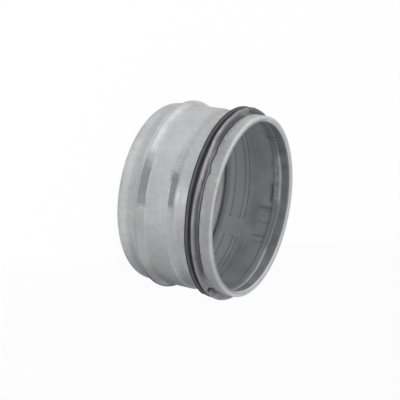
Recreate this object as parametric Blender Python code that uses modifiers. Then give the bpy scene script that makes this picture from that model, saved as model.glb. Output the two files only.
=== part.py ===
"""End cap for a 100 mm round ventilation duct, with a double-lip rubber seal.

The cap is one piece of galvanised sheet, pressed to a cup. Its mouth end is folded back outwards over
the foot of the seal and holds it. The duct slides over the seal and the spigot, up to the stop bead.

Units are metres. The cap stands on its closed end: the origin is the centre of that face and +Z runs
along the axis to the mouth. Depths are measured from the mouth plane towards the closed end.
"""

import math

import bpy
from mathutils import Vector

# Driving dimensions of the duct and the sheet
DUCT_RADIUS = 0.0500          # inside of the duct that the cap closes
SHEET = 0.0005                # thickness of the galvanised sheet

# Radial sizes of the sheet, each against the piece that it works with
RIM_CLEARANCE = 0.0010        # duct to the folded band at the mouth
SPIGOT_CLEARANCE = 0.0020     # duct to the spigot behind the seal
BODY_CLEARANCE = 0.0006       # duct to the body that centres the cap
BODY_TAPER = 0.0003           # body at the bead's foot, below its other end
BEAD_RISE = 0.0027            # corner of the stop bead above the body, before its bend
WAIST_DROP = 0.0006           # waist behind the bead, below the body
END_TAPER = 0.0001            # closed end, below the waist
POCKET_HEIGHT = 0.0014        # space between the two sheets of the fold
RIM_INTURN = 0.0010           # inner edge of the mouth, inside the pocket's wall
RIDGE_RISE = 0.0006           # ridge under the seal, inside the pocket's wall

# Lengths along the axis, one after the other from the mouth
FOLD_LENGTH = 0.0062          # mouth to the cut edge of the folded band
RIDGE_LENGTH = 0.0036         # ridge that carries the seal's body
SEAT_SLOPE = 0.0015           # slope from the ridge out to the spigot
SPIGOT_LENGTH = 0.0106
STEP_LENGTH = 0.0036          # slope from the spigot out to the body
BODY_LENGTH = 0.0134
BEAD_FLANK = 0.0048           # long side of the bead, towards the mouth
BEAD_BACK = 0.0024            # short side of the bead
END_LENGTH = 0.0117           # waist to the closed end

# Bends, as radii of the sheet's middle line
RIM_BEND = 0.00055
POCKET_BEND = 0.0006
SEAT_BEND = 0.0008
STEP_BEND = 0.0015
BEAD_FOOT_BEND = 0.0020
BEAD_CREST_BEND = 0.0024
WAIST_BEND = 0.0015
END_BEND = 0.0057

# Seal
SEAL_GAP = 0.0003             # clearance between the rubber and the sheet
FOOT_SETBACK = 0.0010         # end of the seal's foot to the inside of the fold
SHOULDER_RISE = 0.0003        # body of the seal above its foot
LIP_OVERLAP = 0.0023          # how far the relaxed lips stand beyond the duct's wall
LIP_ROOT = 0.0013             # thickness of a lip at its root
LIP_TIP = 0.0008              # thickness of a lip at its tip
FRONT_LIP_LEAN = 0.0013       # front lip's tip, behind its root
BACK_LIP_LEAN = 0.0033        # back lip's tip, behind its root

SEGMENTS = 64                 # facets round the axis
BEND_STEP = math.radians(28)  # largest turn between two points of a bend

# Radii worked out from the sizes above, all on the sheet's outer side
RIM_RADIUS = DUCT_RADIUS - RIM_CLEARANCE
SPIGOT_RADIUS = DUCT_RADIUS - SPIGOT_CLEARANCE
BODY_RADIUS = DUCT_RADIUS - BODY_CLEARANCE
BEAD_RADIUS = BODY_RADIUS + BEAD_RISE
WAIST_RADIUS = BODY_RADIUS - WAIST_DROP
END_RADIUS = WAIST_RADIUS - END_TAPER
POCKET_WALL_RADIUS = RIM_RADIUS - SHEET - POCKET_HEIGHT
RIDGE_RADIUS = POCKET_WALL_RADIUS - RIDGE_RISE
RIM_INNER_RADIUS = POCKET_WALL_RADIUS - SHEET - RIM_INTURN

# Depths from the mouth, each where one stretch of the sheet ends
RIDGE_START = FOLD_LENGTH + RIDGE_RISE
RIDGE_END = FOLD_LENGTH + RIDGE_LENGTH
SPIGOT_START = RIDGE_END + SEAT_SLOPE
STEP_START = SPIGOT_START + SPIGOT_LENGTH
BODY_START = STEP_START + STEP_LENGTH
BEAD_FOOT = BODY_START + BODY_LENGTH
BEAD_CREST = BEAD_FOOT + BEAD_FLANK
WAIST = BEAD_CREST + BEAD_BACK
CAP_LENGTH = WAIST + END_LENGTH


def clear_scene():
    """Remove whatever the file starts with."""
    for item in list(bpy.data.objects):
        bpy.data.objects.remove(item, do_unlink=True)


def make_collection(name):
    """A new collection in the scene, for the cap's parts."""
    collection = bpy.data.collections.new(name)
    bpy.context.scene.collection.children.link(collection)
    return collection


def make_material(name, color, roughness, metallic):
    """A plain Principled material."""
    material = bpy.data.materials.new(name)
    material.use_nodes = True
    shader = material.node_tree.nodes["Principled BSDF"]
    shader.inputs["Base Color"].default_value = (*color, 1.0)
    shader.inputs["Roughness"].default_value = roughness
    shader.inputs["Metallic"].default_value = metallic
    return material


def bend(before, corner, after, radius):
    """Points of an arc that rounds one corner of a path, kept inside its two legs."""
    back = before - corner
    ahead = after - corner
    angle = back.angle(ahead)
    turn = math.pi - angle
    reach = min(radius * math.tan(turn / 2), back.length / 2, ahead.length / 2)
    radius = reach / math.tan(turn / 2)
    centre = corner + (back.normalized() + ahead.normalized()).normalized() * radius / math.sin(angle / 2)
    start = corner + back.normalized() * reach - centre
    steps = max(1, math.ceil(turn / BEND_STEP))
    side = 1 if start.cross(corner - centre) > 0 else -1
    points = []
    for step in range(steps + 1):
        share = side * turn * step / steps
        turned = Vector((start.x * math.cos(share) - start.y * math.sin(share),
                         start.x * math.sin(share) + start.y * math.cos(share)))
        points.append(centre + turned)
    return points


def rounded_path(corners):
    """Turn (radius, depth, bend) corners into a path of points with rounded bends."""
    places = [Vector((radius, depth)) for radius, depth, bend_radius in corners]
    path = [places[0]]
    for before, place, after, corner in zip(places, places[1:], places[2:], corners[1:]):
        if corner[2] > 0:
            path.extend(bend(before, place, after, corner[2]))
        else:
            path.append(place)
    path.append(places[-1])
    return path


def turn_profile(name, points, closed, material, collection):
    """Turn a profile of (radius, depth) points once round the Z axis."""
    mesh = bpy.data.meshes.new(name)
    vertices = [(point.x, 0.0, CAP_LENGTH - point.y) for point in points]
    edges = [(index, index + 1) for index in range(len(points) - 1)]
    if closed:
        edges.append((len(points) - 1, 0))
    mesh.from_pydata(vertices, edges, [])
    mesh.materials.append(material)
    turned = bpy.data.objects.new(name, mesh)
    collection.objects.link(turned)
    screw = turned.modifiers.new("turn", "SCREW")
    screw.axis = "Z"
    screw.steps = SEGMENTS
    screw.render_steps = SEGMENTS
    screw.use_merge_vertices = True
    screw.merge_threshold = 0.00001
    screw.use_smooth_shade = True
    return turned


def sheet_path():
    """Middle line of the sheet, from the cut edge of the fold to the centre of the closed end."""
    half = SHEET / 2
    pocket_wall = POCKET_WALL_RADIUS - half
    return rounded_path([
        (RIM_RADIUS - half, FOLD_LENGTH, 0),
        (RIM_RADIUS - half, half, RIM_BEND),
        (RIM_INNER_RADIUS + half, half, RIM_BEND),
        (pocket_wall, FOLD_LENGTH, POCKET_BEND),
        (RIDGE_RADIUS - half, RIDGE_START, POCKET_BEND),
        (RIDGE_RADIUS - half, RIDGE_END, SEAT_BEND),
        (SPIGOT_RADIUS - half, SPIGOT_START, SEAT_BEND),
        (SPIGOT_RADIUS - half, STEP_START, STEP_BEND),
        (BODY_RADIUS - half, BODY_START, STEP_BEND),
        (BODY_RADIUS - BODY_TAPER - half, BEAD_FOOT, BEAD_FOOT_BEND),
        (BEAD_RADIUS - half, BEAD_CREST, BEAD_CREST_BEND),
        (WAIST_RADIUS - half, WAIST, WAIST_BEND),
        (END_RADIUS - half, CAP_LENGTH - half, END_BEND),
        (0.0, CAP_LENGTH - half, 0),
    ])


def make_cap_shell(material, collection):
    """The pressed sheet cup: its middle line turned once, then thickened to both sides."""
    shell = turn_profile("cap_shell", sheet_path(), False, material, collection)
    thicken = shell.modifiers.new("sheet", "SOLIDIFY")
    thicken.thickness = SHEET
    thicken.offset = 0.0
    thicken.use_even_offset = True
    return shell


def lip(root, tip):
    """One side of the seal that stands out as a lip, from its front root round the tip to its back root."""
    along = (tip - root).normalized()
    across = Vector((along.y, -along.x))
    half_root = LIP_ROOT / 2
    half_tip = LIP_TIP / 2
    centre = tip - along * half_tip
    return [
        root + across * half_root,
        centre + across * half_tip,
        centre + (along + across * 0.6).normalized() * half_tip,
        centre + (along - across * 0.6).normalized() * half_tip,
        centre - across * half_tip,
        root - across * half_root,
    ]


def seat_limit(radius):
    """Depth that the seal may reach at a radius, clear of the slope between its ridge and the spigot."""
    run = SEAT_SLOPE / (SPIGOT_RADIUS - RIDGE_RADIUS)
    return RIDGE_END + (radius - RIDGE_RADIUS) * run - SEAL_GAP * math.hypot(1, run)


def seal_profile():
    """Section of the rubber: a foot inside the fold, a body on the ridge and two lips."""
    foot_start = SHEET + FOOT_SETBACK
    foot_top = RIM_RADIUS - SHEET - SEAL_GAP
    foot_floor = POCKET_WALL_RADIUS + SEAL_GAP
    body_floor = RIDGE_RADIUS + SEAL_GAP
    shoulder = foot_top + SHOULDER_RISE
    body_start = FOLD_LENGTH + SEAL_GAP
    ridge_slope_gap = SEAL_GAP * math.tan(math.radians(22.5))
    front_root = Vector((shoulder, body_start + LIP_ROOT))
    back_root = Vector((shoulder, seat_limit(shoulder - LIP_ROOT / 2) - LIP_ROOT / 2))
    tip_radius = DUCT_RADIUS + LIP_OVERLAP
    front_tip = Vector((tip_radius, front_root.y + FRONT_LIP_LEAN))
    back_tip = Vector((tip_radius, back_root.y + BACK_LIP_LEAN))
    return [
        Vector((foot_top, foot_start)),
        Vector((foot_top, body_start)),
        Vector((shoulder, body_start + SHOULDER_RISE)),
        *lip(front_root, front_tip),
        *lip(back_root, back_tip),
        Vector((body_floor + SEAL_GAP, seat_limit(body_floor + SEAL_GAP))),
        Vector((body_floor, seat_limit(body_floor) - SEAL_GAP)),
        Vector((body_floor, RIDGE_START + ridge_slope_gap)),
        Vector((foot_floor, FOLD_LENGTH + ridge_slope_gap)),
        Vector((foot_floor, foot_start)),
    ]


def make_seal_ring(material, collection):
    """The rubber seal, one closed section turned once."""
    return turn_profile("seal_ring", seal_profile(), True, material, collection)


def main():
    """Build the cap."""
    clear_scene()
    collection = make_collection("duct_end_cap")
    zinc = make_material("galvanised_sheet", (0.56, 0.59, 0.58), 0.42, 0.85)
    rubber = make_material("seal_rubber", (0.045, 0.045, 0.048), 0.55, 0.0)
    make_cap_shell(zinc, collection)
    make_seal_ring(rubber, collection)


main()
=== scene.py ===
"""Looks of the duct end cap: the pressed zinc-coated sheet, the rubber seal, the studio and the camera.

The two pieces stand in for the CAD nodes cap_shell and seal_ring. Units are metres, in the CAD's own
frame: the cap stands on its closed end, +Z points out of the mouth. Depths are measured from the mouth
downwards and angles, in degrees, from +X towards +Y.
"""

import math

import bmesh
import bpy
from mathutils import Matrix, Quaternion, Vector, noise


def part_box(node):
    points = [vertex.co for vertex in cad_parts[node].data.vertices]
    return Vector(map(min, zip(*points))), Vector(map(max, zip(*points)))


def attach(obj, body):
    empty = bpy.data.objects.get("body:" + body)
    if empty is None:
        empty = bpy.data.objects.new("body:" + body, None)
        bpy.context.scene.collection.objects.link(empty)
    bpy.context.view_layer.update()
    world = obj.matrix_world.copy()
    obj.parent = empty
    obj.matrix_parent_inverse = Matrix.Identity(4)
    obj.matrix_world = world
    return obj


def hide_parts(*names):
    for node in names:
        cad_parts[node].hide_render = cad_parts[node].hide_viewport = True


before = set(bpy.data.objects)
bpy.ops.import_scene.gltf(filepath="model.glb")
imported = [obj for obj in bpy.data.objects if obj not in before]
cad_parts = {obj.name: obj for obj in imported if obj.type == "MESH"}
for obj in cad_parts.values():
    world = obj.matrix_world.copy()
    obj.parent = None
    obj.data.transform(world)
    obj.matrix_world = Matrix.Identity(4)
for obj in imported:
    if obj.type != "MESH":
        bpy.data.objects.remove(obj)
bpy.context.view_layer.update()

MM = 0.001
MOUTH_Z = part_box("cap_shell")[1][2]
TURN_STEPS = 360

# Sheet metal, as the CAD has it; radii are of the outer side
SHEET = 0.5 * MM
RIM_RADIUS = 49.0 * MM
RIM_INNER_RADIUS = 45.6 * MM
POCKET_WALL_RADIUS = 47.1 * MM
RIDGE_RADIUS = 46.5 * MM
SPIGOT_RADIUS = 48.0 * MM
BODY_RADIUS = 49.4 * MM
BODY_TAPER = 0.3 * MM
BEAD_RADIUS = 52.1 * MM
WAIST_RADIUS = 48.8 * MM
END_RADIUS = 48.7 * MM

# Depths of the sheet's corners from the mouth
FOLD_LENGTH = 6.2 * MM
RIDGE_START = 6.8 * MM
RIDGE_END = 9.8 * MM
SPIGOT_START = 11.3 * MM
STEP_START = 21.9 * MM
BODY_START = 25.5 * MM
BEAD_FOOT = 38.9 * MM
BEAD_CREST = 43.7 * MM
WAIST = 46.1 * MM
CAP_LENGTH = 57.8 * MM

# Bends of the sheet's middle line
MOUTH_BEND = 0.55 * MM
RIDGE_BEND = 0.6 * MM
SEAT_BEND = 0.8 * MM
STEP_BEND = 1.5 * MM
BEAD_FOOT_BEND = 2.0 * MM
BEAD_CREST_BEND = 2.4 * MM
WAIST_BEND = 2.2 * MM
END_BEND = 5.7 * MM

# Points of the middle line, counted from the cut edge, that take the fold's own marks
FOLD_POINTS = 25
FOLD_HIDDEN_MARK = 0.2
# The mouth's edge faces the axis within the first radius; from there to the second is its inner top
MOUTH_FACE_RADIUS = 46.3 * MM
MOUTH_TOP_RADIUS = 47.3 * MM

# Marks of the four-jaw pressing tool: pressed lines inside, polished slopes outside
JAWS = 4
JAW_SPAN = 360 / JAWS
JAW_GAP_ANGLE = 160
JAW_GAP_HALF_WIDTH = 6.5
# The polished stretches outside lie this many degrees off the pressed lines inside
POLISH_SHIFT = 3.5
PRESS_LINES = (26.95 * MM, 29.6 * MM, 35.85 * MM)
PRESS_LINE_SHIFTS = (0.3 * MM, 0.6 * MM, 0.0, 0.2 * MM)
PRESS_LINE_WIDTH = 0.18 * MM
PRESS_LINE_DEPTH = 0.08 * MM
PRESS_LINE_MARK = 0.72
# How far the body sinks in the gaps between the jaws
GAP_SINK = 0.08 * MM
# A polished band's ends fade out over this length
POLISH_FADE = 0.8 * MM
# Each polished band: its start and end depth, how smooth it is under each jaw, and between the jaws
POLISHED_BANDS = (
    (15.0 * MM, 20.8 * MM, (0.65, 0.5, 0.3, 0.1), 0.0),
    (22.2 * MM, 26.0 * MM, (1.0, 0.3, 0.5, 0.1), 0.0),
    (38.3 * MM, 43.4 * MM, (0.94, 0.8, 0.9, 0.1), 0.5),
    (39.4 * MM, 43.6 * MM, (0.0, 0.0, 0.0, 0.88), 0.8),
)

# Stretches round the axis, as start and end angle; an end above 360 runs on past 0. The camera looks
# at the outside from about 180 and sees the inside on the far side.
NEAR_SIDE = (160, 212)
FAR_SIDE = (262, 452)
RAGGED_FOLD = (98, 165)
BUCKLED_LIP = (98, 172)

# How much of the floor is plain white to the camera and in reflections; the rest takes light and shadow
FLOOR_GLOW_SEEN = 0.96
FLOOR_GLOW_MIRRORED = 0.25
DARK_CARD_TONE = 0.02

# Seal
SEAL_GAP = 0.3 * MM
LIP_RADIUS = 52.3 * MM
SEAL_FLOOR_RADIUS = 49.25 * MM
SEAL_CURVE_STEPS = 4
SEAL_JOINT_ANGLE = 95
SEAL_HOLE_ANGLES = (243.7, 247.1)
SEAL_TORN_ANGLES = (250, 283)


def wobble(angle, lobes, seed):
    """Smooth noise in -1..1 round the axis, seamless."""
    turn = math.radians(angle)
    value = noise.noise(Vector((math.cos(turn) * lobes, math.sin(turn) * lobes, seed)))
    return max(-1.0, min(1.0, 1.6 * value))


def angle_between(first, second):
    """The smaller angle between two directions, in degrees."""
    return abs((first - second + 180) % 360 - 180)


def bump(angle, centre, half_width):
    """A smooth rise from 0 to 1 and back round an angle in degrees."""
    offset = angle_between(angle, centre)
    if offset >= half_width:
        return 0.0
    return 0.5 + 0.5 * math.cos(math.pi * offset / half_width)


def plateau(angle, start, end, ramp):
    """1 between two angles in degrees and 0 outside them, with a smooth ramp at both ends."""
    offset = angle_between(angle, (start + end) / 2)
    share = min(1.0, max(0.0, ((end - start) / 2 + ramp / 2 - offset) / ramp))
    return share * share * (3 - 2 * share)


def hump(value, middle, half_width):
    """A straight rise from 0 to 1 and back round a depth."""
    return max(0.0, 1 - abs(value - middle) / half_width)


def flat_hump(value, middle, half_width, steepness):
    """A hump with steeper sides and a flat top of 1."""
    return min(1.0, steepness * hump(value, middle, half_width))


def cover(base, mark):
    """A mark covers a paler base; where there is no mark, the base stays, bright places too."""
    return max(base, mark) if mark > 0.01 else base


def gap_offset(angle):
    """Degrees from an angle to the middle of the nearest gap between the jaws."""
    return abs((angle - JAW_GAP_ANGLE + JAW_SPAN / 2) % JAW_SPAN - JAW_SPAN / 2)


def in_jaw_gap(angle):
    """1 in the four gaps between the tool's jaws, 0 under a jaw, with a short ramp between."""
    ramp = 1.2
    return min(1.0, max(0.0, (JAW_GAP_HALF_WIDTH + ramp - gap_offset(angle)) / (2 * ramp)))


def at_jaw_end(angle):
    """1 at the very ends of the jaws, 0 elsewhere."""
    jaw_end = JAW_GAP_HALF_WIDTH + 0.5
    return hump(gap_offset(angle), jaw_end, 1.0)


def jaw_number(angle):
    """Which of the four jaws, 0 to 3, pressed at an angle."""
    return math.floor((angle - JAW_GAP_ANGLE) / JAW_SPAN) % JAWS


def fold_edge(angle):
    """Depth of the fold's uneven cut edge."""
    ragged = 0.06 + 0.16 * plateau(angle, *RAGGED_FOLD, 10)
    waves = 0.15 * wobble(angle, 5, 3.1) + 0.14 * wobble(angle, 17, 8.7) + ragged * wobble(angle, 42, 6.6)
    longer = 0.3 * plateau(angle, 114, 232, 14)
    notches = 0.45 * bump(angle, 147, 4.5) + 0.85 * bump(angle, 160, 6.5)
    shorter = 0.5 * plateau(angle, 244, 262, 6)
    return FOLD_LENGTH + (waves + longer - notches - shorter) * MM


def bend(before, corner, after, radius, steps):
    """Points of an arc that rounds one corner of a path."""
    back = before - corner
    ahead = after - corner
    angle = back.angle(ahead)
    turn = math.pi - angle
    reach = min(radius * math.tan(turn / 2), back.length / 2, ahead.length / 2)
    radius = reach / math.tan(turn / 2)
    centre = corner + (back.normalized() + ahead.normalized()).normalized() * radius / math.sin(angle / 2)
    start = corner + back.normalized() * reach - centre
    side = 1 if start.cross(corner - centre) > 0 else -1
    points = []
    for step in range(steps + 1):
        share = side * turn * step / steps
        turned = Vector((start.x * math.cos(share) - start.y * math.sin(share),
                         start.x * math.sin(share) + start.y * math.cos(share)))
        points.append(centre + turned)
    return points


def rounded_path(corners):
    """Turn (radius, depth, bend radius, bend steps, straight steps) corners into a path of points.

    The straight steps divide the stretch that leads to the corner, so the path has the same number
    of points whatever its sizes are.
    """
    places = [Vector(corner[:2]) for corner in corners]
    path = [places[0]]
    for index in range(1, len(corners)):
        bend_radius, bend_steps, straight_steps = corners[index][2:]
        if bend_radius > 0 and index < len(corners) - 1:
            points = bend(places[index - 1], places[index], places[index + 1], bend_radius, bend_steps)
        else:
            points = [places[index]]
        start = path[-1]
        for step in range(1, straight_steps):
            path.append(start.lerp(points[0], step / straight_steps))
        path.extend(points)
    return path


def press_line_depths(angle):
    """Depths of the press lines under one jaw; each jaw sits a little differently."""
    shift = PRESS_LINE_SHIFTS[jaw_number(angle)]
    return (PRESS_LINES[0] + shift, PRESS_LINES[1] + shift, PRESS_LINES[2] + shift / 6)


def press_line_distance(depth, angle):
    """How far a depth is from the nearest press line."""
    return min(abs(depth - line) for line in press_line_depths(angle))


def press_line_stations(angle):
    """Depths across the press lines where the mesh has points, each with the steps that lead to it."""
    stations = []
    for line in press_line_depths(angle):
        for shift in (-2, -1, 0, 1, 2):
            stations.append((line + shift * PRESS_LINE_WIDTH, 3 if shift == -2 else 1))
    return stations


def sheet_line(angle):
    """Middle line of the sheet at one angle, from the cut edge of the fold to the closed end's centre."""
    half = SHEET / 2
    gap = in_jaw_gap(angle)
    band = RIM_RADIUS - half - (0.05 + 0.05 * wobble(angle, 4, 1.7)) * MM
    ridge_shift = 0.3 * wobble(angle, 3, 5.5) * MM
    body = BODY_RADIUS - half - GAP_SINK * gap
    return rounded_path([
        (band, fold_edge(angle), 0, 0, 1),
        (band, half, MOUTH_BEND, 6, 5),
        (RIM_INNER_RADIUS + half, half, MOUTH_BEND, 8, 3),
        (POCKET_WALL_RADIUS - half, FOLD_LENGTH + ridge_shift, RIDGE_BEND, 4, 5),
        (RIDGE_RADIUS - half, RIDGE_START + ridge_shift, RIDGE_BEND, 4, 1),
        (RIDGE_RADIUS - half, RIDGE_END, SEAT_BEND, 5, 3),
        (SPIGOT_RADIUS - half, SPIGOT_START, SEAT_BEND, 5, 2),
        (SPIGOT_RADIUS - half, STEP_START + 0.5 * gap * MM, STEP_BEND, 4, 5),
        (body, BODY_START + 0.7 * gap * MM, STEP_BEND, 4, 3),
        *[(body - BODY_TAPER * (depth - BODY_START) / (BEAD_FOOT - BODY_START), depth, 0, 0, steps)
          for depth, steps in press_line_stations(angle)],
        (body - BODY_TAPER, BEAD_FOOT, BEAD_FOOT_BEND, 5, 2),
        (BEAD_RADIUS - half, BEAD_CREST, BEAD_CREST_BEND, 7, 3),
        (WAIST_RADIUS - half, WAIST, WAIST_BEND, 6, 1),
        (END_RADIUS - half, CAP_LENGTH - half, END_BEND, 12, 4),
        (0.0, CAP_LENGTH - half, 0, 0, 6),
    ])


def press_line(depth, angle):
    """How strongly a press line marks the inside at a place, 0 to 1."""
    reach = 1.2 * PRESS_LINE_WIDTH
    return math.exp(-(press_line_distance(depth, angle) / reach) ** 2) * (1 - in_jaw_gap(angle))


def polish(depth, angle):
    """How smooth the tool's jaws have rubbed the outside at a place, 0 to 1."""
    gap = in_jaw_gap(angle + POLISH_SHIFT)
    share = 0.0
    for start, end, under_jaws, between in POLISHED_BANDS:
        inset = min(1.0, min(depth - start, end - depth) / POLISH_FADE)
        strength = under_jaws[jaw_number(angle + POLISH_SHIFT)] * (1 - gap) + between * gap
        share = max(share, inset * strength)
    return share


def band_dirt_and_painted_highlight(place, angle):
    """How much the fold's outer band is darkened: ragged beside the seal, with painted highlights near
    the mouth's bend and on stretches round the axis.
    """
    ragged = 0.2 + 0.8 * plateau(angle, *RAGGED_FOLD, 10)
    ragged *= max(0.0, wobble(angle, 19, 2.9)) * (0.5 + 0.5 * wobble(angle, 55, 5.3))
    ragged *= hump(place.y, 5.8 * MM, 1.1 * MM)
    # Painted highlights on stretches round the axis and near the mouth's bend
    band_painted_highlight = 0.08 * plateau(angle, 80, 140, 20) + 0.08 * plateau(angle, 205, 330, 20)
    band_painted_highlight += 0.12 * plateau(angle, 88, 118, 10)
    band_painted_highlight += 0.16 * hump(place.y, 1.0 * MM, 0.9 * MM) * (1 - plateau(angle, 156, 192, 8))
    band_painted_highlight += 0.16 * plateau(angle, 176, 204, 10) * hump(place.y, 5.8 * MM, 2.2 * MM)
    stained = 0.25 * bump(angle, 113, 8) * hump(place.y, 6.0 * MM, 1.6 * MM)
    return 0.40 - band_painted_highlight + ragged + stained


def fold_dirt_and_painted_light(place, angle):
    """How much the folded mouth edge is darkened at a place: the outer band's specks and painted
    highlights, painted shade in the recess behind it and on the near side of its inner face, painted
    light on the far side, and a painted highlight on its top.
    """
    far_side = plateau(angle, *FAR_SIDE, 16)
    if place.x > RIM_RADIUS - 1.0 * MM and place.y > 0.6 * MM:
        return band_dirt_and_painted_highlight(place, angle)
    if place.x < MOUTH_FACE_RADIUS and place.y > 0.9 * MM:
        return max(0.26, inside_marks_and_painted_light(place, angle))
    if place.x < MOUTH_FACE_RADIUS:
        # Painted highlight along the mouth's edge and on a far stretch
        brighter = 0.30 * max(hump(place.y, 0.0, 0.45 * MM), plateau(angle, 275, 338, 12))
        return 0.60 - (0.65 + brighter) * far_side
    if place.x < MOUTH_TOP_RADIUS:
        return 0.42 - 0.34 * far_side
    # Painted highlight on the top, weaker on the near side
    return -0.22 + 0.24 * plateau(angle, 150, 250, 20)


def painted_spigot_highlights(place, angle):
    """How much a painted highlight brightens the outside at a place: at both ends of the spigot."""
    spot = 0.50 * hump(place.y, 21.8 * MM, 1.4 * MM) + 0.30 * hump(place.y, 16.4 * MM, 1.9 * MM)
    edge = 0.12 * hump(place.y, 21.8 * MM, 1.0 * MM)
    return spot * bump(angle, 177, 8.5) + edge * plateau(angle, 178, 204, 8)


def outside_tone_and_painted_light(place, angle):
    """How grey the outside is at a place before its marks: a tone that varies round the axis, painted
    shade on the body, spigot and step towards -Y, and painted highlights at the spigot's ends; a negative
    value is a brighter place.
    """
    body = 0.06 + 0.07 * plateau(angle, *NEAR_SIDE, 24) + 0.03 * plateau(angle, 120, 182, 16)
    # Painted shade on the side towards -Y
    body += 0.22 * plateau(angle, 241, 272, 24)
    body *= flat_hump(place.y, 31.5 * MM, 7.5 * MM, 4)
    spigot = 0.15 * plateau(angle, 80, 215, 20) + 0.10 * bump(angle, 166, 9)
    # Painted shade on the side towards -Y
    spigot += 0.30 * plateau(angle, 232, 272, 32)
    spigot *= flat_hump(place.y, 17.5 * MM, 7.0 * MM, 4)
    # The step's painted shade, strongest towards -Y
    step = max(0.10 * plateau(angle, 80, 158, 10), 0.35 * plateau(angle, 230, 290, 20))
    step *= hump(place.y, 23.6 * MM, 2.6 * MM)
    return body + spigot + step - painted_spigot_highlights(place, angle)


def outside_marks_and_painted_shade(place, angle):
    """How dark the strongest mark on the outside is at a place, from the bead to the step: painted shade
    and painted dark reflections on the bead's slopes, its crest, the valley behind it and the step's
    foot, and real smears and scuffs.
    """
    # Painted shade and painted dark reflections on the bead's slope, heaviest towards -Y
    painted_flank_shade = max(0.45 * plateau(angle, 228, 285, 26), 0.15 * plateau(angle, 82, 106, 10),
                0.08 * plateau(angle, 190, 228, 10), 0.24 * bump(angle, 185, 4))
    painted_flank_shade *= flat_hump(place.y, 41.0 * MM, 3.4 * MM, 3)
    painted_flank_line = 0.14 * plateau(angle, 102, 134, 10) * flat_hump(place.y, 40.6 * MM, 2.0 * MM, 2)
    # Painted shade over the crest's highlight
    crest = (0.10 + 0.30 * plateau(angle, *NEAR_SIDE, 24)) * hump(place.y, 43.4 * MM, 1.6 * MM)
    # Painted shade in the valley behind the bead
    painted_waist_shade = 0.20 * flat_hump(place.y, 47.8 * MM, 2.8 * MM, 1.8) * (1 - 0.7 * plateau(angle, 96, 124, 12))
    smear = 0.45 * bump(angle, 163, 1.8) * hump(place.y, 26.8 * MM, 2.2 * MM)
    scuff = 0.30 * bump(angle, 154, 1.4) * hump(place.y, 26.2 * MM, 1.4 * MM)
    # Painted dark reflection at the foot of the step's polished band
    painted_patch_foot = 0.45 * plateau(angle, 163.5, 170, 3) * flat_hump(place.y, 25.9 * MM, 1.1 * MM, 2)
    return max(painted_flank_shade, painted_flank_line, crest, painted_waist_shade, smear, scuff, painted_patch_foot)


def outside_marks_and_painted_light(place, angle):
    """How much the outside is darkened at a place, by marks and painted shade; a negative value is a
    painted highlight.
    """
    return cover(outside_tone_and_painted_light(place, angle), outside_marks_and_painted_shade(place, angle))


def inside_tone_and_painted_light(place, angle):
    """How grey the inner wall is at a place before its marks: uneven, with painted shade towards the
    mouth, and painted light towards +Y, on the step and where it is deep.
    """
    wall = (0.25 + 0.06 * plateau(angle, -60, 0, 12)) * flat_hump(place.y, 13.0 * MM, 15.0 * MM, 2) - 0.07
    # Painted light towards +Y and on the step
    wall -= 0.15 * plateau(angle, 42, 90, 16) + 0.14 * hump(place.y, 23.6 * MM, 2.6 * MM)
    # Painted light deep inside
    wall -= 0.36 * max(0.0, min(1.0, (place.y - 26.0 * MM) / (11.0 * MM)))
    turn = math.radians(angle)
    cloud = noise.noise(Vector((5 * math.cos(turn), 5 * math.sin(turn), 120 * place.y)))
    return wall + 0.20 * cloud * flat_hump(place.y, 20.0 * MM, 14.0 * MM, 2)


def inside_marks_and_painted_shade(place, angle):
    """How dark the strongest mark on the inside is at a place, from the mouth to the bead's groove:
    painted shade in the recess behind the fold, on the ledge and ridge below it and in the bead's groove,
    and real smudges, scrapes, streaks and line ends.
    """
    patches = 0.5 + 0.5 * wobble(angle, 9, 12.6)
    # Damps the highlights of the ledge and ridge with painted shade
    painted_dimming = plateau(angle, -33, 2, 8) + plateau(angle, 36, 100, 8)
    # Painted shade in the recess behind the fold
    painted_pocket_shade = 0.38 + 0.20 * patches - 0.20 * plateau(angle, -88, -42, 14)
    painted_pocket_shade *= flat_hump(place.y, 3.4 * MM, 3.2 * MM, 2.2)
    painted_shelf_shade = (0.12 + 0.45 * painted_dimming) * flat_hump(place.y, 6.7 * MM, 1.4 * MM, 1.6)
    ridge = (0.27 + 0.15 * painted_dimming) * flat_hump(place.y, 9.0 * MM, 2.2 * MM, 2)
    # Painted shadow in the bead's groove
    groove = 0.72 * hump(place.y, 43.4 * MM, 1.2 * MM)
    smudge = 0.25 * patches * plateau(angle, 14, 30, 6) * hump(place.y, 16.0 * MM, 6.0 * MM)
    scrape = 0.85 * plateau(angle, 1, 14, 3) + 0.60 * patches * plateau(angle, 16, 32, 5)
    scrape *= hump(place.y, 11.4 * MM, 1.0 * MM)
    drag_lines = 0.60 * max(0.0, wobble(angle, 70, 3.3)) * plateau(angle, -34, 2, 8)
    drag_lines *= flat_hump(place.y, 13.0 * MM, 8.0 * MM, 2)
    tool_streaks = max(0.9 * bump(angle, 51, 1.2), bump(angle, 54, 1.2), 0.7 * bump(angle, 57, 1.2))
    tool_streaks *= 0.75 * flat_hump(place.y, 8.0 * MM, 6.5 * MM, 2)
    line_ends = 0.0
    if place.x > SPIGOT_RADIUS - SHEET:
        line_ends = 0.6 * hump(press_line_distance(place.y, angle), 0.0, 0.4 * MM) * at_jaw_end(angle)
    return max(painted_pocket_shade, painted_shelf_shade, ridge, groove, smudge, scrape, drag_lines, tool_streaks, line_ends)


def inside_marks_and_painted_light(place, angle):
    """How much the inside is darkened at a place, by marks and painted shade; a negative value is painted
    light.
    """
    if place.y > 44.5 * MM:
        return 0.0
    return cover(inside_tone_and_painted_light(place, angle), inside_marks_and_painted_shade(place, angle))


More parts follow.
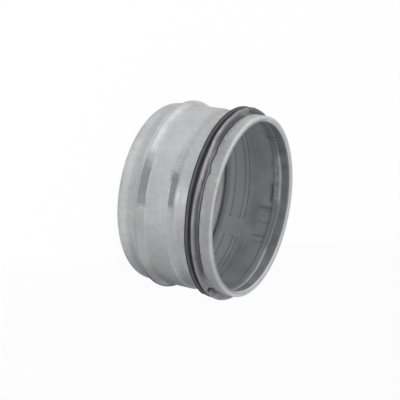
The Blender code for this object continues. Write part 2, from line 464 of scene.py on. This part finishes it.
def scuffing(depth, angle):
    """How scratched the inside is at a place, 0 to 1: slanted scratches on a stretch of the ridge."""
    return plateau(angle, 4, 33, 5) * flat_hump(depth, 9.2 * MM, 2.2 * MM, 2)


def staining(depth, angle):
    """How brown the outside is stained at a place, 0 to 1: a small patch on the bead."""
    return plateau(angle, 190, 203, 5) * flat_hump(depth, 41.0 * MM, 2.4 * MM, 2)


def sheet_section(angle):
    """Closed-end centre outside, over the whole sheet, back to the centre inside, at one angle.

    Each point is (radius, depth, mark, polish, scuff, stain): mark darkens the metal with marks and
    painted shade, and where negative brightens it with painted highlights; polish smooths it, scuff
    scratches it and stain browns it. The sheet turns over at the mouth, so the side of the fold that
    shows belongs to the inside.
    """
    line = sheet_line(angle)
    outside = []
    inside = []
    for index, point in enumerate(line):
        before = line[max(index - 1, 0)]
        after = line[min(index + 1, len(line) - 1)]
        along = (after - before).normalized()
        if index == len(line) - 1:
            along = Vector((-1, 0))
        across = Vector((along.y, -along.x)) * SHEET / 2
        wall = BODY_START < point.y < BEAD_FOOT and point.x > RIM_INNER_RADIUS
        mark = press_line(point.y, angle) if wall else 0.0
        groove = across.normalized() * mark * PRESS_LINE_DEPTH
        outer = point + across
        inner = point - across + groove
        if index < FOLD_POINTS:
            outside.append((outer.x, outer.y, FOLD_HIDDEN_MARK, 0.0, 0.0, 0.0))
            inside.append((inner.x, inner.y, fold_dirt_and_painted_light(inner, angle), 0.0, 0.0, 0.0))
            continue
        outside.append((outer.x, outer.y, outside_marks_and_painted_light(outer, angle), polish(point.y, angle), 0.0,
                        staining(point.y, angle)))
        # Marks, painted shade and painted light inside, with the press lines drawn over them
        inner_mark_and_painted_light = inside_marks_and_painted_light(inner, angle) * (1 - mark) + PRESS_LINE_MARK * mark
        inside.append((inner.x, inner.y, inner_mark_and_painted_light, 0.0, scuffing(point.y, angle), 0.0))
    return outside[::-1] + inside


def turned_mesh(name, section, attributes, poles):
    """A mesh of sections round the Z axis. With poles, both ends of the section lie on the axis."""
    angles = [360 * step / TURN_STEPS for step in range(TURN_STEPS)]
    sections = [section(angle) for angle in angles]
    count = len(sections[0])
    shell = bmesh.new()
    layers = [shell.verts.layers.float.new(attribute) for attribute in attributes]
    columns = []
    for angle, points in zip(angles, sections):
        turn = math.radians(angle)
        column = []
        for index, (radius, depth, *values) in enumerate(points):
            if poles and index in (0, count - 1) and columns:
                column.append(columns[0][index])
                continue
            vertex = shell.verts.new((radius * math.cos(turn), radius * math.sin(turn), MOUTH_Z - depth))
            for layer, value in zip(layers, values):
                vertex[layer] = value
            column.append(vertex)
        columns.append(column)
    rows = count - 1 if poles else count
    for step, column in enumerate(columns):
        other = columns[(step + 1) % TURN_STEPS]
        for index in range(rows):
            following = (index + 1) % count
            corners = [column[index], other[index], other[following], column[following]]
            corners = list(dict.fromkeys(corners))
            shell.faces.new(corners)
    bmesh.ops.recalc_face_normals(shell, faces=shell.faces)
    mesh = bpy.data.meshes.new(name)
    shell.to_mesh(mesh)
    shell.free()
    mesh.shade_smooth()
    mesh.set_sharp_from_angle(angle=math.radians(50))
    piece = bpy.data.objects.new(name, mesh)
    bpy.context.scene.collection.objects.link(piece)
    return piece


def smooth_loop(points, steps):
    """A closed Catmull-Rom curve through points, each a tuple of numbers."""
    loop = []
    count = len(points)
    for index in range(count):
        before, start, end, after = (points[(index + shift) % count] for shift in (-1, 0, 1, 2))
        for step in range(steps):
            share = step / steps
            weights = (
                0.5 * (-share + 2 * share ** 2 - share ** 3),
                0.5 * (2 - 5 * share ** 2 + 3 * share ** 3),
                0.5 * (share + 4 * share ** 2 - 3 * share ** 3),
                0.5 * (-share ** 2 + share ** 3),
            )
            loop.append(tuple(sum(weight * value for weight, value in zip(weights, values))
                              for values in zip(before, start, end, after)))
    return loop


def seal_faults(angle):
    """How much the rubber is torn and how much of it is missing in its hole at one angle, each 0 to 1."""
    return plateau(angle, *SEAL_TORN_ANGLES, 4), plateau(angle, *SEAL_HOLE_ANGLES, 1.2)


def seal_dust_and_sheen(angle):
    """How much the rubber is greyed at one angle, by a dusting and by painted sheen, from the fold's edge
    to the front lip.

    The five values: the groove beside the fold, the small ridge, and the lip's root, slope and face.
    """
    torn, hole = seal_faults(angle)
    joint = bump(angle, SEAL_JOINT_ANGLE, 1.2)
    near_joint = bump(angle, SEAL_JOINT_ANGLE + 7, 9)
    low = plateau(angle, 230, 247, 12)
    groove = 0.16 + 0.30 * near_joint + 0.12 * plateau(angle, 146, 180, 10) + 0.62 * low
    ridge = groove + 0.26 * plateau(angle, 140, 194, 8) + 0.20 * bump(angle, 155, 10)
    ridge += 0.10 * plateau(angle, 196, 226, 8)
    root = 0.22 + 0.35 * near_joint + 0.24 * plateau(angle, 138, 156, 8) + 0.50 * low
    slope = 0.48 + 0.15 * near_joint + 0.32 * plateau(angle, 138, 176, 8)
    slope += 0.25 * plateau(angle, 236, 283, 12)
    face = 0.68 + 0.18 * plateau(angle, 122, 166, 8) + 0.14 * bump(angle, 141, 12)
    face -= 0.08 * plateau(angle, 194, 250, 10)
    tatters = torn * (1 - 0.45 * abs(wobble(angle, 60, 9.1)))
    dusty = (0.6 + 0.4 * plateau(angle, SEAL_JOINT_ANGLE, 284, 2)) * (1 - joint)
    groove = max(groove, 0.85 * tatters) * (1 - 0.5 * hole)
    ridge = max(ridge, 0.9 * tatters) * (1 - 0.7 * hole)
    root = max(root, tatters) * (1 - hole)
    slope = max(slope, tatters) * (1 - hole)
    face = max(face, tatters)
    return [value * dusty for value in (groove, ridge, root, slope, face)]


def seal_section(angle):
    """Section of the rubber at one angle, as (radius, depth, grey) points; the grey value lightens the
    black with a dusting and with painted sheen.
    """
    edge = fold_edge(angle)
    twist = plateau(angle, 141, 155, 6)
    torn, hole = seal_faults(angle)
    joint = bump(angle, SEAL_JOINT_ANGLE, 1.3)
    buckled = plateau(angle, *BUCKLED_LIP, 12)
    lean = 0.15 * wobble(angle, 4, 2.2) + 0.16 * buckled * wobble(angle, 16, 5.9)
    lean = (lean - 0.6 * plateau(angle, 146, 174, 22) - 0.4 * torn) * MM
    height = (0.15 + 0.12 * wobble(angle, 6, 4.4)) * (1 - torn) * MM + 0.4 * joint * MM
    height += 0.10 * buckled * (1 + wobble(angle, 22, 1.3)) * MM
    lift = 0.5 * twist + 1.3 * torn - 0.6 * hole + 0.12 * wobble(angle, 9, 7.7)
    floor = SEAL_FLOOR_RADIUS + lift * MM
    sink = 0.9 * hole * MM
    groove, ridge, root, slope, face = seal_dust_and_sheen(angle)
    tip_dust_and_sheen = 0.1 + 0.25 * plateau(angle, 190, 226, 8)
    foot_top = RIM_RADIUS - SHEET - SEAL_GAP
    foot_floor = POCKET_WALL_RADIUS + SEAL_GAP
    body_floor = RIDGE_RADIUS + SEAL_GAP
    ridge_foot = edge + 1.2 * MM + lean * 0.3
    crest = LIP_RADIUS - height
    back = 0.12 * wobble(angle, 4, 6.2) * MM
    back_lip = LIP_RADIUS - 0.6 * torn * MM
    foot = [
        (foot_top, 1.7 * MM, 0.0),
        (foot_top, 3.5 * MM, 0.0),
        (foot_top, edge + 0.15 * MM, 0.1),
    ]
    ridge_by_fold = [
        (foot_top + 0.6 * MM, edge + 0.3 * MM, groove),
        (floor, edge + 0.5 * MM, groove),
        (floor + 0.25 * MM * (1 + twist - hole), edge + 0.85 * MM, ridge),
        (floor, ridge_foot, 0.8 * ridge),
        (floor, max(8.05 * MM + lean, ridge_foot + 0.15 * MM), root),
    ]
    front_lip = [
        (floor + 0.45 * MM, max(8.4 * MM + lean, ridge_foot + 0.4 * MM), root),
        (50.6 * MM - sink, 8.6 * MM + lean + sink, slope),
        (crest - 0.5 * MM, 8.85 * MM + lean, face),
        (crest - 0.1 * MM, 9.2 * MM + lean, face),
        (crest, 9.6 * MM + lean * 0.8, 0.45 * face),
        (crest - 0.15 * MM, 9.95 * MM + lean * 0.6, tip_dust_and_sheen * face),
    ]
    # Painted light where the lips shade the gap between them
    gap_between_lips = [
        (crest - 0.8 * MM, 10.1 * MM + lean * 0.4, 0.06),
        (50.3 * MM, 10.2 * MM + lean * 0.3, 0.10),
        (49.9 * MM, 10.6 * MM, 0.10),
        (50.2 * MM, 11.0 * MM, 0.10),
    ]
    rear_lip = [
        (back_lip - 1.3 * MM, 11.7 * MM + back, 0.0),
        # Painted highlight line along the back lip
        (back_lip - 0.5 * MM, 12.5 * MM + back, 0.24),
        (back_lip - 0.15 * MM, 12.95 * MM + back, 0.0),
        (back_lip, 13.3 * MM + back, 0.0),
        (back_lip - 0.3 * MM, 13.5 * MM + back, 0.0),
        (51.2 * MM, 13.15 * MM + back, 0.0),
        (50.2 * MM, 12.2 * MM + back, 0.0),
        (49.3 * MM, 11.3 * MM, 0.0),
        (48.6 * MM, 10.75 * MM, 0.0),
        (47.6 * MM, 10.05 * MM, 0.0),
    ]
    underside = [
        (body_floor + 0.1 * MM, 9.5 * MM, 0.0),
        (body_floor, 8.6 * MM, 0.0),
        (body_floor, 7.3 * MM, 0.0),
        (body_floor + 0.3 * MM, RIDGE_START, 0.0),
        (foot_floor + 0.05 * MM, 6.0 * MM, 0.0),
        (foot_floor, 4.0 * MM, 0.0),
        (foot_floor, 1.7 * MM, 0.0),
    ]
    section = foot + ridge_by_fold + front_lip + gap_between_lips + rear_lip + underside
    return smooth_loop(section, SEAL_CURVE_STEPS)


def new_material(name):
    """An empty node material with its output and a Principled shader."""
    material = bpy.data.materials.new(name)
    material.use_nodes = True
    tree = material.node_tree
    return material, tree, tree.nodes["Principled BSDF"]


def add_node(tree, kind, inputs=None, **settings):
    """Add a node, set its properties and its unlinked inputs, and link inputs that are sockets."""
    node = tree.nodes.new(kind)
    for key, value in settings.items():
        setattr(node, key, value)
    for key, value in (inputs or {}).items():
        if isinstance(value, bpy.types.NodeSocket):
            tree.links.new(value, node.inputs[key])
        else:
            node.inputs[key].default_value = value
    return node


def blend_colors(tree, factor, first, second):
    """Mix two colours and return the result's socket."""
    node = add_node(tree, "ShaderNodeMixRGB", {"Fac": factor, "Color1": first, "Color2": second})
    return node.outputs["Color"]


def remap(tree, value, low, high, new_low, new_high):
    """Map a value from one range to another, clamped."""
    ranges = {"Value": value, "From Min": low, "From Max": high, "To Min": new_low, "To Max": new_high}
    return add_node(tree, "ShaderNodeMapRange", ranges).outputs["Result"]


def noise_field(tree, place, scale, detail=3.0, stretch=(1, 1, 1)):
    """Noise over the object's own coordinates, stretched along an axis by scaling it down."""
    mapping = add_node(tree, "ShaderNodeMapping", {"Vector": place, "Scale": stretch})
    node = add_node(tree, "ShaderNodeTexNoise",
                    {"Vector": mapping.outputs["Vector"], "Scale": scale, "Detail": detail})
    return node.outputs["Fac"]


def attribute(tree, name):
    """A value that the mesh carries."""
    return add_node(tree, "ShaderNodeAttribute", attribute_name=name).outputs["Fac"]


def combine(tree, operation, first, second):
    """The result of a maths node on two values."""
    return add_node(tree, "ShaderNodeMath", {0: first, 1: second}, operation=operation).outputs[0]


def multiply(tree, first, second):
    """The product of two values."""
    return combine(tree, "MULTIPLY", first, second)


def add_bumps(tree, shader, height, strength):
    """Give a surface fine bumps, up to 0.2 mm, from a noise field."""
    settings = {"Height": height, "Strength": strength, "Distance": 0.2 * MM}
    bumps = add_node(tree, "ShaderNodeBump", settings)
    tree.links.new(bumps.outputs["Normal"], shader.inputs["Normal"])


def slanted_field(tree, place, scale):
    """Noise drawn out into fine slanted lines on the round wall."""
    axes = add_node(tree, "ShaderNodeSeparateXYZ", {"Vector": place})
    turn = combine(tree, "ARCTAN2", axes.outputs["Y"], axes.outputs["X"])
    along = multiply(tree, turn, SPIGOT_RADIUS)
    slanted = combine(tree, "ADD", along, axes.outputs["Z"])
    drawn_out = multiply(tree, axes.outputs["Z"], 0.12)
    point = add_node(tree, "ShaderNodeCombineXYZ", {"X": slanted, "Y": drawn_out})
    return noise_field(tree, point.outputs["Vector"], scale, 2.0)


def zinc_material():
    """Galvanised sheet: soft spangle, faint tints, drawing streaks, specks, scratches and dark marks,
    with the painted shade and painted highlights that the mesh carries.
    """
    material, tree, shader = new_material("galvanised_sheet")
    place = add_node(tree, "ShaderNodeTexCoord").outputs["Object"]
    spangle = add_node(tree, "ShaderNodeTexVoronoi", {"Vector": place, "Scale": 260.0})
    crystal = add_node(tree, "ShaderNodeSeparateColor", {"Color": spangle.outputs["Color"]})
    cloud = noise_field(tree, place, 55.0, 4.0)
    mottle = noise_field(tree, place, 330.0, 2.0)
    grain = noise_field(tree, place, 1300.0)
    streak = noise_field(tree, place, 900.0, 3.0, (1, 1, 0.12))
    speck = noise_field(tree, place, 700.0, 1.0)
    tint = noise_field(tree, place, 32.0, 3.0)
    scratch = slanted_field(tree, place, 1200.0)
    mark = attribute(tree, "mark")
    scuff = attribute(tree, "scuff")
    stain = multiply(tree, attribute(tree, "stain"), remap(tree, grain, 0.42, 0.58, 0, 0.42))
    dark_scratch = multiply(tree, scuff, remap(tree, scratch, 0.56, 0.64, 0, 0.5))
    bright_scratch = multiply(tree, scuff, remap(tree, scratch, 0.44, 0.36, 0, 0.9))
    # What lies on the bare zinc, from the bottom up: how much it covers, and its colour
    layers = (
        # Dull clouds, a warm and a cold tint
        (remap(tree, cloud, 0.35, 0.7, 0, 0.4), (0.40, 0.42, 0.425, 1)),
        (remap(tree, tint, 0.50, 0.66, 0, 0.5), (0.60, 0.565, 0.545, 1)),
        (remap(tree, tint, 0.48, 0.34, 0, 0.5), (0.50, 0.545, 0.54, 1)),
        # Dark and pale mottle, pale and dark grain
        (remap(tree, mottle, 0.52, 0.68, 0, 0.18), (0.42, 0.44, 0.45, 1)),
        (remap(tree, mottle, 0.46, 0.32, 0, 0.18), (0.68, 0.69, 0.69, 1)),
        (remap(tree, grain, 0.4, 0.7, 0, 0.28), (0.66, 0.67, 0.67, 1)),
        (remap(tree, grain, 0.5, 0.3, 0, 0.25), (0.38, 0.40, 0.41, 1)),
        # Drawing streaks and specks
        (remap(tree, streak, 0.55, 0.75, 0, 0.2), (0.30, 0.31, 0.32, 1)),
        (remap(tree, speck, 0.75, 0.80, 0, 0.7), (0.12, 0.12, 0.125, 1)),
        # What the mesh carries: stains, dark marks and painted shade, painted highlights, dark and bright
        # scratches
        (stain, (0.36, 0.31, 0.21, 1)),
        (remap(tree, mark, 0, 1, 0, 1), (0.026, 0.033, 0.041, 1)),
        (remap(tree, mark, 0, -1, 0, 1), (0.90, 0.93, 0.95, 1)),
        (dark_scratch, (0.10, 0.105, 0.11, 1)),
        (bright_scratch, (0.85, 0.86, 0.86, 1)),
    )
    tone = blend_colors(tree, crystal.outputs["Red"], (0.530, 0.552, 0.562, 1), (0.585, 0.605, 0.615, 1))
    for amount, color in layers:
        tone = blend_colors(tree, amount, tone, color)
    tree.links.new(tone, shader.inputs["Base Color"])
    rubbed = attribute(tree, "polish")
    tree.links.new(remap(tree, rubbed, 0, 1, 0.6, 0.66), shader.inputs["Metallic"])
    rough = combine(tree, "ADD", remap(tree, cloud, 0.3, 0.7, 0.46, 0.58), multiply(tree, rubbed, -0.36))
    tree.links.new(rough, shader.inputs["Roughness"])
    add_bumps(tree, shader, grain, 0.15)
    return material


def rubber_material():
    """Black seal rubber, greyed by a dusting and by painted sheen where it faces the mouth, with streaks
    along the strip.
    """
    material, tree, shader = new_material("seal_rubber")
    place = add_node(tree, "ShaderNodeTexCoord").outputs["Object"]
    streak = noise_field(tree, place, 900.0, 3.0, (0.25, 0.25, 1.6))
    cloud = noise_field(tree, place, 160.0, 4.0)
    black = blend_colors(tree, cloud, (0.015, 0.015, 0.018, 1), (0.040, 0.040, 0.045, 1))
    streaked = remap(tree, streak, 0.3, 0.7, 0, 1)
    grey = blend_colors(tree, streaked, (0.27, 0.265, 0.29, 1), (0.38, 0.372, 0.40, 1))
    amount = multiply(tree, attribute(tree, "dust_and_sheen"), remap(tree, cloud, 0.3, 0.6, 0.85, 1.05))
    tree.links.new(blend_colors(tree, amount, black, grey), shader.inputs["Base Color"])
    shader.inputs["Specular IOR Level"].default_value = 0.28
    tree.links.new(remap(tree, cloud, 0.3, 0.7, 0.42, 0.6), shader.inputs["Roughness"])
    add_bumps(tree, shader, streak, 0.25)
    return material


def make_shell():
    """The sheet-metal cup, in place of its CAD node."""
    shell = turned_mesh("shell_sheet", sheet_section, ("mark", "polish", "scuff", "stain"), poles=True)
    shell.data.materials.append(zinc_material())
    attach(shell, "root")
    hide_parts("cap_shell")


def make_seal():
    """The rubber ring, in place of its CAD node."""
    seal = turned_mesh("seal_rubber_ring", seal_section, ("dust_and_sheen",), poles=False)
    seal.data.materials.append(rubber_material())
    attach(seal, "root")
    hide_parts("seal_ring")


def make_floor():
    """A pale floor under the closed end."""
    bpy.ops.mesh.primitive_plane_add(size=8.0, location=(0, 0, 0))
    floor = bpy.context.object
    floor.name = "floor"
    material, tree, shader = new_material("floor_white")
    shader.inputs["Base Color"].default_value = (0.93, 0.93, 0.93, 1)
    shader.inputs["Roughness"].default_value = 0.9
    glow = add_node(tree, "ShaderNodeEmission", {"Color": (1, 1, 1, 1), "Strength": 1.0})
    path = add_node(tree, "ShaderNodeLightPath")
    seen = multiply(tree, path.outputs["Is Camera Ray"], FLOOR_GLOW_SEEN)
    mirrored = multiply(tree, path.outputs["Is Glossy Ray"], FLOOR_GLOW_MIRRORED)
    share = combine(tree, "MAXIMUM", seen, mirrored)
    mix = add_node(tree, "ShaderNodeMixShader", {0: share, 1: shader.outputs[0], 2: glow.outputs[0]})
    tree.links.new(mix.outputs[0], tree.nodes["Material Output"].inputs["Surface"])
    floor.data.materials.append(material)


def make_world():
    """Soft ambient light, dimmer from the side that is low in the picture, with a white background."""
    world = bpy.data.worlds.new("studio")
    bpy.context.scene.world = world
    world.use_nodes = True
    tree = world.node_tree
    direction = add_node(tree, "ShaderNodeTexCoord").outputs["Generated"]
    axes = add_node(tree, "ShaderNodeSeparateXYZ", {"Vector": direction})
    upward = remap(tree, axes.outputs["Z"], 0, 0.7, 0.80, 0.76)
    sideways = remap(tree, axes.outputs["Y"], -0.8, 0.2, 0.70, 1.0)
    room = multiply(tree, upward, sideways)
    path = add_node(tree, "ShaderNodeLightPath")
    strength = combine(tree, "MAXIMUM", room, path.outputs["Is Camera Ray"])
    background = tree.nodes["Background"]
    background.inputs["Color"].default_value = (1, 1, 1, 1)
    tree.links.new(strength, background.inputs["Strength"])


def add_softbox(name, place, target, width, height, power, lights, mirrored, tilt=0.0):
    """A rectangular soft box that faces a target, turned about its own axis by a tilt in degrees.

    It lights matt surfaces, is seen in reflections, or both.
    """
    light = bpy.data.lights.new(name, "AREA")
    light.shape = "RECTANGLE"
    light.size = width
    light.size_y = height
    light.energy = power
    lamp = bpy.data.objects.new(name, light)
    lamp.visible_diffuse = lights
    lamp.visible_glossy = mirrored
    bpy.context.scene.collection.objects.link(lamp)
    lamp.location = place
    facing = (Vector(target) - Vector(place)).to_track_quat("-Z", "Y")
    lamp.rotation_euler = (facing @ Quaternion((0, 0, 1), math.radians(tilt))).to_euler()


def make_lights():
    """Two soft boxes that light the object, and a strip that only shows in the metal."""
    middle = (0, 0, 0.03)
    add_softbox("key", place=(-1.2, 0.25, 0.25), target=middle, width=1.0, height=0.45, power=8.2,
                lights=True, mirrored=False)
    add_softbox("strip", place=(-0.3, 0.8, 0.36), target=(-0.3, 0, 0.36), width=2.2, height=0.13,
                power=0.73, lights=False, mirrored=True, tilt=20)
    add_softbox("top", place=(-0.25, 0.1, 0.9), target=middle, width=0.5, height=0.5, power=2.0,
                lights=True, mirrored=False)


def make_flag(name, corners, dims_light):
    """A dark card that the camera doesn't see, for the metal to reflect; it can also dim the light."""
    mesh = bpy.data.meshes.new(name)
    mesh.from_pydata(corners, [], [(0, 1, 2, 3)])
    flag = bpy.data.objects.new(name, mesh)
    bpy.context.scene.collection.objects.link(flag)
    material, tree, shader = new_material(name)
    shader.inputs["Base Color"].default_value = (DARK_CARD_TONE, DARK_CARD_TONE, DARK_CARD_TONE, 1)
    shader.inputs["Roughness"].default_value = 0.9
    mesh.materials.append(material)
    flag.visible_camera = False
    flag.visible_shadow = False
    flag.visible_diffuse = dims_light
    return tree, shader


def wall_corners(x, low_y, high_y, height):
    """Corners of an upright card that faces along X and stands on the floor."""
    return [(x, low_y, 0.0), (x, high_y, 0.0), (x, high_y, height), (x, low_y, height)]


def floor_corners(low_x, high_x, low_y, high_y):
    """Corners of a card that lies just above the floor."""
    lift = 0.0005
    return [(low_x, low_y, lift), (high_x, low_y, lift), (high_x, high_y, lift), (low_x, high_y, lift)]


def paint_shadow_on_floor_card(tree, shader):
    """Paint the object's shadow on a floor card: dark beside the object, paler away from it and towards
    the lit side.
    """
    place = add_node(tree, "ShaderNodeTexCoord").outputs["Object"]
    axes = add_node(tree, "ShaderNodeSeparateXYZ", {"Vector": place})
    distance = add_node(tree, "ShaderNodeVectorMath", {0: place}, operation="LENGTH")
    # Painted shadow of the object, dark close to it
    away = remap(tree, distance.outputs["Value"], 0.096, 0.114, DARK_CARD_TONE, 0.65)
    lit_side = remap(tree, axes.outputs["X"], -0.10, 0.0, 0.60, DARK_CARD_TONE)
    edge = remap(tree, axes.outputs["Y"], -0.075, -0.035, DARK_CARD_TONE, 0.80)
    shade = combine(tree, "MAXIMUM", combine(tree, "MAXIMUM", away, lit_side), edge)
    tree.links.new(shade, shader.inputs["Base Color"])


def make_flags():
    """Dark cards round the set: an upright one where the studio is dark, and one on the floor with the
    object's painted shadow.
    """
    make_flag("flag_front", wall_corners(-0.6, -0.15, 0.55, 0.60), dims_light=False)
    tree, shader = make_flag("flag_floor", floor_corners(-0.4, 0.6, -0.6, -0.035), dims_light=True)
    paint_shadow_on_floor_card(tree, shader)


def make_camera():
    """The photograph's view: looking down into the mouth, rolled so that the mouth faces right."""
    place = Vector((-0.72436, 0.05882, 0.39087))
    target = Vector((0.0, -0.00161, 0.02546))
    image_up = Vector((0.0, 0.98648, -0.16390))
    forward = (target - place).normalized()
    right = forward.cross(image_up).normalized()
    up = right.cross(forward)
    data = bpy.data.cameras.new("camera")
    data.lens = 135.0
    data.sensor_width = 36.0
    camera = bpy.data.objects.new("camera", data)
    bpy.context.scene.collection.objects.link(camera)
    camera.matrix_world = Matrix((
        (right.x, up.x, -forward.x, place.x),
        (right.y, up.y, -forward.y, place.y),
        (right.z, up.z, -forward.z, place.z),
        (0, 0, 0, 1),
    ))
    bpy.context.scene.camera = camera


make_shell()
make_seal()
make_floor()
make_world()
make_lights()
make_flags()
make_camera()
bpy.context.scene.view_settings.view_transform = "Standard"
